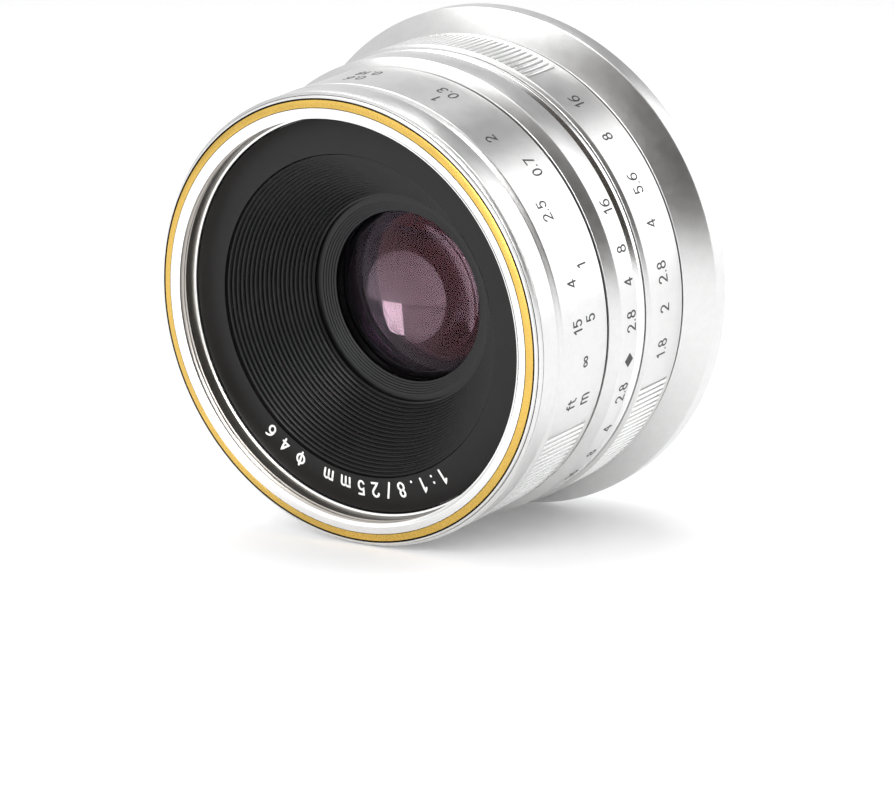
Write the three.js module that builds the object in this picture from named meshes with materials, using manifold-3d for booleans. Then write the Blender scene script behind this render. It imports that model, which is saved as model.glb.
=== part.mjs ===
// Wide prime lens for a mirrorless camera, built as its real assembly.
// Millimetres. The optical axis is Y: the front looks along -Y, the mount seat
// (rear face of the bayonet plate) is the plane Y = 0, +Z is up.
// Angles round the axis are measured from +X towards +Z.
import * as THREE from 'three';
import { mergeVertices } from 'three/addons/utils/BufferGeometryUtils.js';
import Module from 'manifold-3d';

const wasm = await Module();
wasm.setup();

// ---------------------------------------------------------------- dimensions
const S_OUT = 48;            // facets round the outer rings
const S_IN = 28;             // facets round the inner pieces
const GAP = 0.3;             // running clearance between pieces

// outer barrel stations along Y, front to rear
const Y_LIP = -33.62;        // front lip, the foremost face
const Y_ACCENT = -33.42;     // outer edge of the accent ring
const Y_RIM_EDGE = -32.56;   // chamfer ends, rim band begins
const Y_RIM_REAR = -29.66;   // rear of the rim band
const Y_FOCUS_F = -29.42;    // focus ring front
const Y_FOCUS_C = -28.83;    // its front chamfer ends
const Y_FOCUS_R = -20.08;    // focus ring rear
const Y_DEPTH_F = -19.78;    // depth scale ring front
const Y_DEPTH_EDGE = -18.59; // its front chamfer ends
const Y_DEPTH_R = -15.34;    // its rear
const Y_TRIM_F = -15.10;     // trim ring front
const Y_TRIM_C = -14.37;     // trim ring's cone ends
const Y_TRIM_R = -13.84;     // trim ring rear
const Y_APER_F = -13.60;     // aperture ring front
const Y_APER_C = -13.19;     // its front chamfer ends
const Y_APER_R = -6.54;      // aperture ring rear
const Y_FLARE_F = -6.24;     // flared housing front
const Y_FLARE_E = -3.36;     // flare ends
const Y_HOUSE_R = -1.00;     // rear edge of the housing
const Y_SEAT = 0;            // mount seat

// outer radii
const R_ACCENT_I = 24.19;
const R_ACCENT_O = 25.07;
const R_RIM = 25.85;
const R_FOCUS = 25.90;
const R_DEPTH = 26.77;
const R_TRIM = 26.75;
const R_APER = 27.12;
const R_HOUSE = 29.54;

// sleeves
const R_FIXED_O = 25.60, R_FIXED_I = 24.70;
const R_HELI_O = 24.40, R_HELI_I = 23.50;
const R_TUBE_O = 23.20, R_TUBE_I = 22.00;
const Y_TUBE_R = -11.50;

// filter thread M46 x 0.75 and the recess behind it
const R_THREAD = 22.95;
const R_NAME_O = 22.50, R_NAME_I = 18.46;
const Y_NAME_O = -30.61, Y_NAME_I = -30.96;
const R_CONE_END = 11.93, Y_CONE_END = -22.67;
const R_GLASS = 9.87, Y_GLASS = -21.25;

// mount
const R_PLATE = 27.00, T_PLATE = 1.20;
const R_THROAT_O = 22.20, R_THROAT_I = 20.60, Y_THROAT = 5.60;
const R_LUG = 23.90, LUG_F = 2.70, LUG_R = 4.30;
const LUG_ANGLES = [35, 155, 275], LUG_SPAN = 44;
const R_SCREW_PCD = 24.60, SCREW_ANGLES = [95, 195, 245, 335];

// travel
const FOCUS_TRAVEL = 106;    // degrees, infinity stop to closest distance
const APER_TRAVEL = 64.5;    // degrees, f/1.8 to f/16

const PIN_ANGLES = [86.5, 266.5];   // aperture pins at f/1.8
const KEY_ANGLES = [0, 180];        // straight keys

// iris
const BLADES = 12;
const R_PIVOT = 10.60, R_BLADE_I = 6.30, R_BLADE_O = 9.40;
const T_BLADE = 0.10, P_BLADE = 0.15;
const Y_BLADE_0 = -12.35;    // rear face of the rearmost blade

// ---------------------------------------------------------------- helpers
const d2r = Math.PI / 180;

// closed ring or solid of revolution about Y from [radius, y] points
function turned(points, segments) {
  const pts = points.map(([r, y]) => new THREE.Vector2(r, y));
  const onAxis = points[0][0] === 0;
  let area = 0;
  for (let i = 0; i < pts.length; i++) {
    const a = pts[i], b = pts[(i + 1) % pts.length];
    area += a.x * b.y - b.x * a.y;
  }
  if (area < 0) pts.reverse();
  if (!onAxis) pts.push(pts[0].clone());
  const g = new THREE.LatheGeometry(pts, segments, Math.PI / 2);
  return clean(g);
}

function clean(geometry) {
  let g = geometry;
  g.deleteAttribute('normal');
  g.deleteAttribute('uv');
  g = mergeVertices(g, 1e-5);
  // drop the triangles that closed up on the axis
  const idx = g.index.array, keep = [];
  for (let i = 0; i < idx.length; i += 3) {
    const a = idx[i], b = idx[i + 1], c = idx[i + 2];
    if (a !== b && b !== c && a !== c) keep.push(a, b, c);
  }
  g.setIndex(keep);
  return g;
}

function solid(geometry) {
  const g = clean(geometry);
  const mesh = new wasm.Mesh({
    numProp: 3,
    vertProperties: new Float32Array(g.attributes.position.array),
    triVerts: new Uint32Array(g.index.array),
  });
  mesh.merge();
  return new wasm.Manifold(mesh);
}

function shell(manifold) {
  const m = manifold.getMesh();
  const g = new THREE.BufferGeometry();
  const n = m.numProp, count = m.vertProperties.length / n;
  const pos = new Float32Array(count * 3);
  for (let i = 0; i < count; i++) {
    for (let k = 0; k < 3; k++) pos[3 * i + k] = m.vertProperties[n * i + k];
  }
  g.setAttribute('position', new THREE.BufferAttribute(pos, 3));
  g.setIndex(new THREE.BufferAttribute(new Uint32Array(m.triVerts), 1));
  return mergeVertices(g, 1e-5);
}

const cut = (a, ...tools) => shell(tools.reduce((s, t) => s.subtract(solid(t)), solid(a)));
const join = (a, ...more) => shell(more.reduce((s, t) => s.add(solid(t)), solid(a)));

// a sector of a ring: radii r0..r1, y0..y1, from angle a0 to a1 in degrees
function sector(r0, r1, y0, y1, a0, a1, steps = 8) {
  const shape = new THREE.Shape();
  for (let i = 0; i <= steps; i++) {
    const a = (a0 + (a1 - a0) * i / steps) * d2r;
    const p = [r1 * Math.cos(a), r1 * Math.sin(a)];
    if (i === 0) shape.moveTo(...p); else shape.lineTo(...p);
  }
  for (let i = steps; i >= 0; i--) {
    const a = (a0 + (a1 - a0) * i / steps) * d2r;
    shape.lineTo(r0 * Math.cos(a), r0 * Math.sin(a));
  }
  return slab(shape, y0, y1);
}

// a flat shape drawn in X and Z, made thick from y0 to y1
function slab(shape, y0, y1, curveSegments = 6) {
  const g = new THREE.ExtrudeGeometry(shape, { depth: y1 - y0, bevelEnabled: false, curveSegments });
  g.rotateX(Math.PI / 2);       // shape x,y -> X,Z with the depth along -Y
  g.translate(0, y1, 0);
  return g;
}

function box(x0, x1, y0, y1, z0, z1) {
  const g = new THREE.BoxGeometry(x1 - x0, y1 - y0, z1 - z0);
  g.translate((x0 + x1) / 2, (y0 + y1) / 2, (z0 + z1) / 2);
  return g;
}

// a rod along Y at radius rc and angle a
function rodY(radius, y0, y1, rc, a, segments = 16) {
  const g = new THREE.CylinderGeometry(radius, radius, y1 - y0, segments);
  g.translate(rc * Math.cos(a * d2r), (y0 + y1) / 2, rc * Math.sin(a * d2r));
  return g;
}

// a rod pointing along the radius at angle a
function rodR(radius, r0, r1, y, a, segments = 12) {
  const g = new THREE.CylinderGeometry(radius, radius, r1 - r0, segments);
  g.rotateZ(-Math.PI / 2);
  g.translate((r0 + r1) / 2, y, 0);
  g.rotateY(-a * d2r);
  return g;
}

const turnedAbout = (g, a) => { g.rotateY(-a * d2r); return g; };

// a lens element: front and rear surfaces by vertex position and edge position
function element(r, yFv, yFe, yRe, yRv, steps = 3) {
  const pts = [];
  const arc = (yv, ye, t) => yv + (ye - yv) * t * t;
  pts.push([0, yFv]);
  for (let i = 1; i <= steps; i++) { const t = i / steps; pts.push([r * t, arc(yFv, yFe, t)]); }
  for (let i = steps; i >= 1; i--) { const t = i / steps; pts.push([r * t, arc(yRv, yRe, t)]); }
  pts.push([0, yRv]);
  return turned(pts, 24);
}

// ---------------------------------------------------------------- materials
const mat = (color, roughness, metalness) => new THREE.MeshStandardMaterial({ color, roughness, metalness });
const satin = () => mat(0xd6d5d2, 0.38, 1.0);
const polished = () => mat(0xe8e8e6, 0.18, 1.0);
const chrome = () => mat(0xcfcfcc, 0.22, 1.0);
const gold = () => mat(0xd9ad3c, 0.25, 1.0);
const blackAl = () => mat(0x1c1c1d, 0.55, 0.4);
const charcoal = () => mat(0x3a3838, 0.5, 0.3);
const brass = () => mat(0xb08a45, 0.35, 1.0);
const steel = () => mat(0x9a9a9a, 0.3, 1.0);
const blade = () => mat(0x202022, 0.5, 0.6);
const plastic = () => mat(0x161617, 0.6, 0.0);
const red = () => mat(0xb3201c, 0.45, 0.0);
const glass = () => mat(0x3b2233, 0.05, 0.0);

const lens = new THREE.Group();
function add(name, geometry, material) {
  const m = new THREE.Mesh(clean(geometry), material);
  m.name = name;
  lens.add(m);
}

// ---------------------------------------------------------------- mount end
{
  const disc = turned([[R_THROAT_I, -T_PLATE], [R_PLATE, -T_PLATE], [R_PLATE, -0.25], [R_PLATE - 0.25, Y_SEAT],
    [R_THROAT_O, Y_SEAT], [R_THROAT_O, Y_THROAT - 0.3], [R_THROAT_O - 0.3, Y_THROAT], [R_THROAT_I, Y_THROAT]], S_OUT);
  const lugs = LUG_ANGLES.map((a) => sector(R_THROAT_O - 0.8, R_LUG, LUG_F, LUG_R, a - LUG_SPAN / 2, a + LUG_SPAN / 2, 6));
  const holes = SCREW_ANGLES.flatMap((a) => [
    rodY(1.95, -1.0, 0.5, R_SCREW_PCD, a, 16),
    rodY(1.1, -2.0, 0.5, R_SCREW_PCD, a, 12),
  ]);
  const lock = rodY(1.5, -0.9, 0.5, 25.0, 5, 16);     // blind hole for the camera's lock pin
  const dot = rodY(1.15, -0.7, 0.5, 25.2, 62, 16);    // seat of the alignment dot
  add('bayonet_plate', cut(join(disc, ...lugs), ...holes, lock, dot), chrome());
  add('alignment_dot', rodY(1.0, -0.65, -0.02, 25.2, 62, 16), red());
  SCREW_ANGLES.forEach((a, i) => {
    add(`mount_screw_${i + 1}`, join(rodY(1.75, -0.88, -0.06, R_SCREW_PCD, a, 16), rodY(0.8, -2.6, -0.5, R_SCREW_PCD, a, 10)), steel());
  });
}
{
  const house = turned([[26.0, Y_FLARE_F], [27.05, Y_FLARE_F], [R_HOUSE, Y_FLARE_E], [R_HOUSE, Y_HOUSE_R - 0.3],
    [R_HOUSE - 0.3, Y_HOUSE_R], [R_PLATE + 0.3, Y_HOUSE_R], [R_PLATE + 0.3, -1.5], [22.6, -1.5], [22.6, -2.8],
    [26.0, -2.8]], S_OUT);
  add('rear_housing', cut(house, ...SCREW_ANGLES.map((a) => rodY(1.1, -3.2, -1.0, R_SCREW_PCD, a, 12))), satin());
}
add('rear_baffle', turned([[12.6, -0.6], [20.2, -0.6], [20.2, 0.8], [14.2, 0.8]], S_IN), plastic());

// ---------------------------------------------------------------- fixed barrel
{
  const tube = turned([[R_FIXED_I, -19.0], [R_FIXED_O, -19.0], [R_FIXED_O, -3.1], [R_FIXED_I, -3.1]], S_IN);
  const slots = PIN_ANGLES.map((a) => sector(24.0, 26.2, -10.4, -8.0, a - APER_TRAVEL - 4, a + 4, 10));
  add('fixed_barrel', cut(tube, ...slots), blackAl());
}
add('depth_scale_ring', turned([[25.1, Y_DEPTH_F], [25.95, Y_DEPTH_F], [R_DEPTH, Y_DEPTH_EDGE], [R_DEPTH, Y_DEPTH_R],
  [25.95, Y_DEPTH_R], [25.95, -19.3], [25.1, -19.3]], S_OUT), satin());
add('scale_trim_ring', turned([[25.95, Y_TRIM_F], [26.15, Y_TRIM_F], [R_TRIM, Y_TRIM_C], [R_TRIM, Y_TRIM_R], [25.95, Y_TRIM_R]], S_OUT), polished());
for (const [i, a] of KEY_ANGLES.entries()) {
  add(`guide_key_${i + 1}`, turnedAbout(box(22.25, 22.95, -19.0, -3.1, -1.4, 1.4), a), steel());
}
add('focus_stop_screw', rodR(0.7, 23.55, 24.55, -11.9, 150), steel());

// ---------------------------------------------------------------- focus ring and helicoid
add('focus_ring', turned([[24.7, Y_FOCUS_F], [25.2, Y_FOCUS_F], [R_FOCUS, Y_FOCUS_C], [R_FOCUS, Y_FOCUS_R - 0.15],
  [R_FOCUS - 0.15, Y_FOCUS_R], [24.7, Y_FOCUS_R]], S_OUT), satin());
{
  const sleeve = turned([[R_HELI_I, -28.3], [R_HELI_O, -28.3], [R_HELI_O, -11.0], [R_HELI_I, -11.0]], S_IN);
  // relief that runs against the stop screw at both ends of the travel
  const relief = sector(23.0, 24.9, -13.2, -10.5, 150 - 4, 150 + FOCUS_TRAVEL + 4, 12);
  add('focus_helicoid', cut(sleeve, relief), brass());
}

// ---------------------------------------------------------------- aperture ring and its fork
add('aperture_ring', turned([[25.95, Y_APER_F], [26.8, Y_APER_F], [R_APER, Y_APER_C], [R_APER, Y_APER_R - 0.15],
  [R_APER - 0.15, Y_APER_R], [25.95, Y_APER_R]], S_OUT), satin());
PIN_ANGLES.forEach((a, i) => add(`aperture_pin_${i + 1}`, rodR(0.8, 22.15, 25.7, -9.2, a, 8), steel()));
{
  const ring = turned([[14.2, -9.6], [21.9, -9.6], [21.9, -8.8], [14.2, -8.8]], S_IN);
  const prongs = [262, 278].map((a) => sector(14.0, 15.2, -14.9, -9.0, a - 3, a + 3, 2));
  add('aperture_fork', join(ring, ...prongs), blackAl());
}

// ---------------------------------------------------------------- front barrel
{
  const barrel = turned([[23.55, Y_LIP], [R_ACCENT_I - 0.06, Y_LIP], [R_ACCENT_I - 0.06, -32.9], [R_ACCENT_O + 0.08, -32.9],
    [R_ACCENT_O + 0.08, Y_ACCENT + 0.12], [R_RIM, Y_RIM_EDGE], [R_RIM, Y_RIM_REAR], [R_TUBE_O, Y_RIM_REAR], [R_TUBE_O, Y_TUBE_R],
    [R_TUBE_I, Y_TUBE_R], [R_TUBE_I, -29.55], [R_NAME_O + 0.12, -29.55], [R_NAME_O + 0.12, -30.7], [R_THREAD, -30.85], [R_THREAD, -33.0]], S_OUT);
  const slots = KEY_ANGLES.map((a) => turnedAbout(box(21.5, 23.8, -19.7, -11.0, -1.9, 1.9), a));
  add('front_barrel', cut(barrel, ...slots), satin());
}
add('accent_ring', turned([[R_ACCENT_I, Y_LIP], [R_ACCENT_O, Y_ACCENT], [R_ACCENT_O, -32.98], [R_ACCENT_I, -32.98]], S_OUT), gold());
add('name_ring', turned([[R_NAME_I, Y_NAME_I], [R_NAME_O, Y_NAME_O], [R_NAME_O, -29.65], [R_NAME_I, -30.15]], S_OUT), charcoal());
add('cone_baffle', turned([[R_NAME_I - 0.08, Y_NAME_I + 0.18], [R_CONE_END, Y_CONE_END], [13.6, Y_CONE_END],
  [19.0, -28.7], [21.8, -28.9], [21.8, -29.55], [18.9, -29.95], [R_NAME_I - 0.08, -30.03]], S_OUT), blackAl());
add('front_retainer', turned([[R_GLASS, Y_GLASS], [11.35, -22.25], [12.4, -22.25], [12.4, -20.85], [11.2, -20.85]], S_IN), blackAl());

// ---------------------------------------------------------------- optical cells
add('front_cell', turned([[13.4, -22.0], [12.55, -22.0], [12.55, -20.6], [11.25, -20.6], [11.25, -18.4], [9.9, -18.4], [9.9, -15.2],
  [12.9, -15.2], [12.9, -16.0], [21.7, -16.0], [21.7, -17.2], [13.4, -17.2]], S_IN), blackAl());
add('iris_housing', turned([[13.3, -14.2], [13.3, -11.6], [6.6, -11.6], [6.6, -12.1], [12.3, -12.1], [12.3, -14.2]], S_IN), blackAl());
{
  const ring = turned([[6.9, -14.8], [13.2, -14.8], [13.2, -14.45], [6.9, -14.45]], S_IN);
  add('iris_drive_ring', join(ring, sector(12.8, 15.0, -14.8, -14.45, 268.2, 271.8, 1)), brass());
}
add('rear_cell', turned([[12.7, -11.3], [8.4, -11.3], [8.4, -10.95], [10.1, -10.95], [10.1, -1.6], [12.0, -1.6], [12.7, -3.0]], S_IN), blackAl());
add('rear_retainer', turned([[9.9, -2.75], [9.9, -1.8], [8.8, -1.8], [8.4, -2.75]], S_IN), blackAl());
add('spacer_front', turned([[9.6, -17.9], [9.75, -18.3], [8.9, -18.75], [8.9, -18.5]], S_IN), blackAl());
add('spacer_middle', turned([[9.8, -7.45], [9.8, -6.35], [9.0, -6.35], [9.0, -7.3]], S_IN), blackAl());
add('spacer_rear', turned([[9.8, -5.2], [9.8, -4.55], [9.0, -4.55], [9.0, -5.0]], S_IN), blackAl());

// ---------------------------------------------------------------- glass, front to rear
add('element_1', element(11.0, -22.8, -20.72, -19.1, -20.5), glass());
add('element_2', element(9.6, -19.6, -17.85, -17.65, -16.9), glass());
add('element_3', element(9.6, -16.82, -17.57, -15.35, -16.0), glass());
add('element_4', element(9.8, -10.2, -10.85, -8.6, -9.5), glass());
add('element_5', element(9.8, -9.42, -8.52, -7.6, -6.95), glass());
add('element_6', element(9.8, -6.6, -6.25, -5.35, -4.75), glass());
add('element_7', element(9.8, -4.2, -4.4, -3.0, -2.4), glass());

// ---------------------------------------------------------------- iris blades
// A crescent with an ear at the pivot; each blade lies in a layer of its own.
for (let k = 0; k < BLADES; k++) {
  const shape = new THREE.Shape();
  const pts = [];
  const A0 = -4, A1 = 118, N = 9;
  for (let i = 0; i <= N; i++) { const a = (A0 + 8 + (A1 - A0 - 8) * i / N) * d2r; pts.push([R_BLADE_O * Math.cos(a), R_BLADE_O * Math.sin(a)]); }
  for (let i = N; i >= 0; i--) { const a = (A0 + (A1 - A0) * i / N) * d2r; pts.push([R_BLADE_I * Math.cos(a), R_BLADE_I * Math.sin(a)]); }
  pts.push([R_PIVOT + 0.2, -0.75], [R_PIVOT + 0.8, 0], [R_PIVOT + 0.2, 0.75]);
  pts.forEach(([x, y], i) => (i ? shape.lineTo(x, y) : shape.moveTo(x, y)));
  const y1 = Y_BLADE_0 - k * P_BLADE;
  const g = slab(shape, y1 - T_BLADE, y1);
  add(`iris_blade_${String(k + 1).padStart(2, '0')}`, turnedAbout(g, k * 360 / BLADES), blade());
}

export default lens;
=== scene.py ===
# Studio scene for the prime camera lens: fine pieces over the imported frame.
# Millimetres in the tables, metres on the objects. The optical axis is Y and
# the front looks along -Y; angles go from +X towards +Z.
import bpy
import bmesh
import math
from mathutils import Matrix, Vector


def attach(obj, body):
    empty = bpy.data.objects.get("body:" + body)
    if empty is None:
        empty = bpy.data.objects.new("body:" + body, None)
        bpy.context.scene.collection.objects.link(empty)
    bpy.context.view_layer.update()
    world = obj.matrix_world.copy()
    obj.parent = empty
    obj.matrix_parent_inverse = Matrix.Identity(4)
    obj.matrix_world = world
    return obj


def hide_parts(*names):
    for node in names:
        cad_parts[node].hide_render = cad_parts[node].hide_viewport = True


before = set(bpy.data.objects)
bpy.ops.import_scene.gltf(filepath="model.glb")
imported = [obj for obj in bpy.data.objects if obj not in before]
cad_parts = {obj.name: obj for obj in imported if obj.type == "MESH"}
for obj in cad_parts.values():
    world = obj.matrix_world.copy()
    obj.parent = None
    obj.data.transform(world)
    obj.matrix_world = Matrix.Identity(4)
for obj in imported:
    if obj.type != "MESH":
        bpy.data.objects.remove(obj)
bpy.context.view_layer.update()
MM = 0.001
D2R = math.pi / 180.0
SCENE = bpy.context.scene
SCENE.view_settings.view_transform = "Standard"


# ------------------------------------------------------------------ camera
def aim(obj, right, up, forward, loc):
    m = Matrix(((right[0], up[0], -forward[0], loc[0] * MM),
                (right[1], up[1], -forward[1], loc[1] * MM),
                (right[2], up[2], -forward[2], loc[2] * MM),
                (0, 0, 0, 1)))
    obj.matrix_world = m


cam_data = bpy.data.cameras.new("studio_camera")
cam_data.lens = 154.85
cam_data.sensor_width = 36.0
cam_data.sensor_fit = "HORIZONTAL"
cam_data.clip_start = 0.02
cam_data.clip_end = 20.0
camera = bpy.data.objects.new("studio_camera", cam_data)
SCENE.collection.objects.link(camera)
aim(camera, (0.8170, 0.5721, -0.0727), (-0.1012, 0.2664, 0.9585), (-0.5677, 0.7757, -0.2755), (249.8, -356.6, 107.6))
SCENE.camera = camera


# --------------------------------------------------------------- materials
class Nodes:
    def __init__(self, name):
        self.mat = bpy.data.materials.new(name)
        self.mat.use_nodes = True
        self.t = self.mat.node_tree
        self.bsdf = self.t.nodes["Principled BSDF"]
        self.coord = self.t.nodes.new("ShaderNodeTexCoord").outputs["Object"]

    def new(self, kind, **props):
        n = self.t.nodes.new(kind)
        for k, v in props.items():
            setattr(n, k, v)
        return n

    def link(self, a, b):
        self.t.links.new(a, b)

    def noise(self, vector, scale, detail=2.0, rough=0.55):
        n = self.new("ShaderNodeTexNoise")
        n.inputs["Scale"].default_value = scale
        n.inputs["Detail"].default_value = detail
        n.inputs["Roughness"].default_value = rough
        self.link(vector, n.inputs["Vector"])
        return n.outputs["Fac"]

    def turned(self):
        # radius and height only, so that a noise on it draws lathe rings
        sep = self.new("ShaderNodeSeparateXYZ")
        self.link(self.coord, sep.inputs[0])
        com = self.new("ShaderNodeCombineXYZ")
        flat = self.new("ShaderNodeCombineXYZ")
        self.link(sep.outputs[0], flat.inputs[0])
        self.link(sep.outputs[2], flat.inputs[1])
        length = self.new("ShaderNodeVectorMath", operation="LENGTH")
        self.link(flat.outputs[0], length.inputs[0])
        self.link(length.outputs["Value"], com.inputs[0])
        self.link(sep.outputs[1], com.inputs[1])
        return com.outputs[0]

    def ramp(self, fac, lo, hi, p0=0.3, p1=0.7):
        r = self.new("ShaderNodeValToRGB")
        r.color_ramp.elements[0].position = p0
        r.color_ramp.elements[0].color = (*lo, 1)
        r.color_ramp.elements[1].position = p1
        r.color_ramp.elements[1].color = (*hi, 1)
        self.link(fac, r.inputs[0])
        return r.outputs[0]

    def span(self, fac, lo, hi, f0=0.3, f1=0.7):
        r = self.new("ShaderNodeMapRange")
        r.inputs["From Min"].default_value = f0
        r.inputs["From Max"].default_value = f1
        r.inputs["To Min"].default_value = lo
        r.inputs["To Max"].default_value = hi
        self.link(fac, r.inputs["Value"])
        return r.outputs[0]

    def bump(self, height, strength, distance_mm, after=None):
        b = self.new("ShaderNodeBump")
        b.inputs["Strength"].default_value = strength
        b.inputs["Distance"].default_value = distance_mm * MM
        self.link(height, b.inputs["Height"])
        if after is not None:
            self.link(after, b.inputs["Normal"])
        return b.outputs[0]


def finish_of(name, base, rough, metal, tint=0.04, grain_mm=0.12, grain=0.25, grain_depth=0.01, patch_mm=4.0,
              rough_var=0.05, lathe_mm=0.0, lathe=0.0, lathe_depth=0.01, spec=0.5, coat=0.0, aniso=0.0):
    n = Nodes(name)
    b = n.bsdf
    b.inputs["Metallic"].default_value = metal
    b.inputs["Specular IOR Level"].default_value = spec
    if coat:
        b.inputs["Coat Weight"].default_value = coat
        b.inputs["Coat Roughness"].default_value = 0.12
    patch = n.noise(n.coord, 1.0 / (patch_mm * MM), 3.0)
    fine = n.noise(n.coord, 1.0 / (grain_mm * MM), 2.0, 0.6)
    lo = tuple(max(0.0, c * (1 - tint)) for c in base)
    hi = tuple(min(1.0, c * (1 + tint)) for c in base)
    mixed = n.new("ShaderNodeMath", operation="ADD")
    half = n.new("ShaderNodeMath", operation="MULTIPLY")
    half.inputs[1].default_value = 0.5
    n.link(patch, mixed.inputs[0])
    n.link(fine, mixed.inputs[1])
    n.link(mixed.outputs[0], half.inputs[0])
    n.link(n.ramp(half.outputs[0], lo, hi, 0.38, 0.62), b.inputs["Base Color"])
    n.link(n.span(half.outputs[0], max(0.02, rough - rough_var), rough + rough_var, 0.38, 0.62), b.inputs["Roughness"])
    normal = None
    if grain > 0:
        normal = n.bump(fine, grain, grain_depth)
    if lathe > 0:
        rings = n.noise(n.turned(), 1.0 / (lathe_mm * MM), 2.0, 0.7)
        normal = n.bump(rings, lathe, lathe_depth, normal)
    if normal is not None:
        n.link(normal, b.inputs["Normal"])
    return n.mat


satin = finish_of("satin_aluminium", (0.68, 0.68, 0.675), 0.31, 1.0, tint=0.03, grain_mm=0.15, grain=0.75, grain_depth=0.018, patch_mm=1.2, rough_var=0.02)
cut_edge = finish_of("cut_aluminium", (0.84, 0.84, 0.835), 0.20, 1.0, tint=0.02, grain_mm=0.3, grain=0.05, lathe_mm=0.06, lathe=0.25, lathe_depth=0.004, rough_var=0.03)
knurl_mat = finish_of("knurl_aluminium", (0.93, 0.93, 0.925), 0.30, 1.0, tint=0.03, grain_mm=0.1, grain=0.15, grain_depth=0.006, rough_var=0.04)
# knurl grooves take a darker grey than the ribs: painted shade in the recesses
knurl_groove_painted_shade = finish_of("knurl_groove_painted_shade", (0.55, 0.55, 0.545), 0.42, 1.0, tint=0.05, grain_mm=0.1, grain=0.2, grain_depth=0.006)
gold = finish_of("gold_anodised", (0.64, 0.42, 0.10), 0.27, 1.0, tint=0.05, grain_mm=0.2, grain=0.05, lathe_mm=0.05, lathe=0.3, lathe_depth=0.004, rough_var=0.03)
charcoal = finish_of("charcoal_satin", (0.008, 0.0074, 0.0074), 0.46, 0.0, tint=0.12, grain_mm=0.10, grain=0.35, grain_depth=0.012, lathe_mm=0.12, lathe=0.12, lathe_depth=0.006, rough_var=0.04, spec=0.24)
black_al = finish_of("black_anodised", (0.004, 0.004, 0.0043), 0.33, 0.0, tint=0.2, grain_mm=0.09, grain=0.25, grain_depth=0.008, lathe_mm=0.07, lathe=0.2, lathe_depth=0.005, rough_var=0.05, spec=0.38)
edge_black = finish_of("lens_edge_black", (0.010, 0.010, 0.011), 0.7, 0.0, tint=0.2, grain_mm=0.15, grain=0.2, grain_depth=0.006, spec=0.2)
# darker brown-grey for the inner thread wall: painted shade inside the front lip
wall_painted_shade = finish_of("thread_wall_painted_shade", (0.40, 0.375, 0.345), 0.34, 1.0, tint=0.03, grain_mm=0.2, grain=0.08, grain_depth=0.006, lathe_mm=0.07, lathe=0.45, lathe_depth=0.006, rough_var=0.03)
# near-black for the small grooves and the accent ring's seat: painted shade in the corners
groove_painted_shade_black = finish_of("groove_painted_shade_black", (0.012, 0.012, 0.012), 0.6, 0.0, tint=0.2, grain_mm=0.09, grain=0.2, grain_depth=0.006, spec=0.3)
chrome = finish_of("mount_chrome", (0.82, 0.82, 0.81), 0.17, 1.0, tint=0.03, grain_mm=0.25, grain=0.05, lathe_mm=0.09, lathe=0.45, lathe_depth=0.006, rough_var=0.04)
steel = finish_of("screw_steel", (0.52, 0.52, 0.53), 0.28, 1.0, tint=0.06, grain_mm=0.1, grain=0.12, grain_depth=0.006)
brass = finish_of("turned_brass", (0.66, 0.47, 0.18), 0.3, 1.0, tint=0.07, grain_mm=0.15, grain=0.1, lathe_mm=0.1, lathe=0.4, lathe_depth=0.008)
blade_mat = finish_of("blade_black", (0.028, 0.028, 0.030), 0.38, 0.6, tint=0.15, grain_mm=0.12, grain=0.2, grain_depth=0.005)
plastic = finish_of("black_plastic", (0.018, 0.018, 0.019), 0.55, 0.0, tint=0.15, grain_mm=0.18, grain=0.5, grain_depth=0.02)
dot_red = finish_of("dot_red", (0.62, 0.03, 0.02), 0.3, 0.0, tint=0.06, grain_mm=0.2, grain=0.08, coat=0.5)
ink_grey = finish_of("engraving_grey", (0.035, 0.034, 0.034), 0.5, 0.0, tint=0.15, grain_mm=0.08, grain=0.25, grain_depth=0.006)
ink_white = finish_of("engraving_white", (0.80, 0.80, 0.79), 0.5, 0.0, tint=0.04, grain_mm=0.08, grain=0.25, grain_depth=0.006)


def glass_of(name, tint, level, spec_tint=(1, 1, 1), ior=1.6, rough=0.008, coat_ior=0.0):
    """Coated glass: level 0.5 keeps the bare reflection of the IOR, less is an anti-reflection coat."""
    n = Nodes(name)
    b = n.bsdf
    b.inputs["Transmission Weight"].default_value = 1.0
    b.inputs["IOR"].default_value = ior
    b.inputs["Specular Tint"].default_value = (*(c * min(1.0, 2 * level) for c in spec_tint), 1)
    if coat_ior:
        b.inputs["Coat Weight"].default_value = 1.0
        b.inputs["Coat Roughness"].default_value = 0.01
        b.inputs["Coat IOR"].default_value = coat_ior
    haze = n.noise(n.coord, 400.0, 3.0)
    n.link(n.ramp(haze, tuple(c * 0.985 for c in tint), tint), b.inputs["Base Color"])
    n.link(n.span(haze, max(0.0, rough - 0.004), rough + 0.004), b.inputs["Roughness"])
    return n.mat


glass_front = glass_of("coated_glass_front", (0.96, 0.90, 0.95), 0.10, (0.95, 0.70, 1.0), 1.55)
glass_dim = glass_of("coated_glass_inner", (0.95, 0.86, 0.92), 0.05, (0.85, 0.6, 1.0), 1.50)
glass_red = glass_of("coated_glass_red", (0.88, 0.78, 0.80), 0.17, (1.0, 0.14, 0.06), 1.65, 0.012)
# near-black maroon body tint: painted shade for the dark lens interior; the strong coat reflection is real
glass_reflective_shade_tint = glass_of("coated_glass_reflective_shade_tint", (0.04, 0.012, 0.018), 0.25, (1.0, 0.93, 0.97), 1.62, 0.012, 1.8)
# dark body tint: painted shade for the dark lens interior
glass_shade_tint = glass_of("coated_glass_shade_tint", (0.16, 0.09, 0.12), 0.06, (0.85, 0.6, 1.0), 1.50)
glass_rear = glass_of("coated_glass_rear", (0.93, 0.96, 0.94), 0.30, (0.55, 0.95, 0.75), 1.60)


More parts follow.
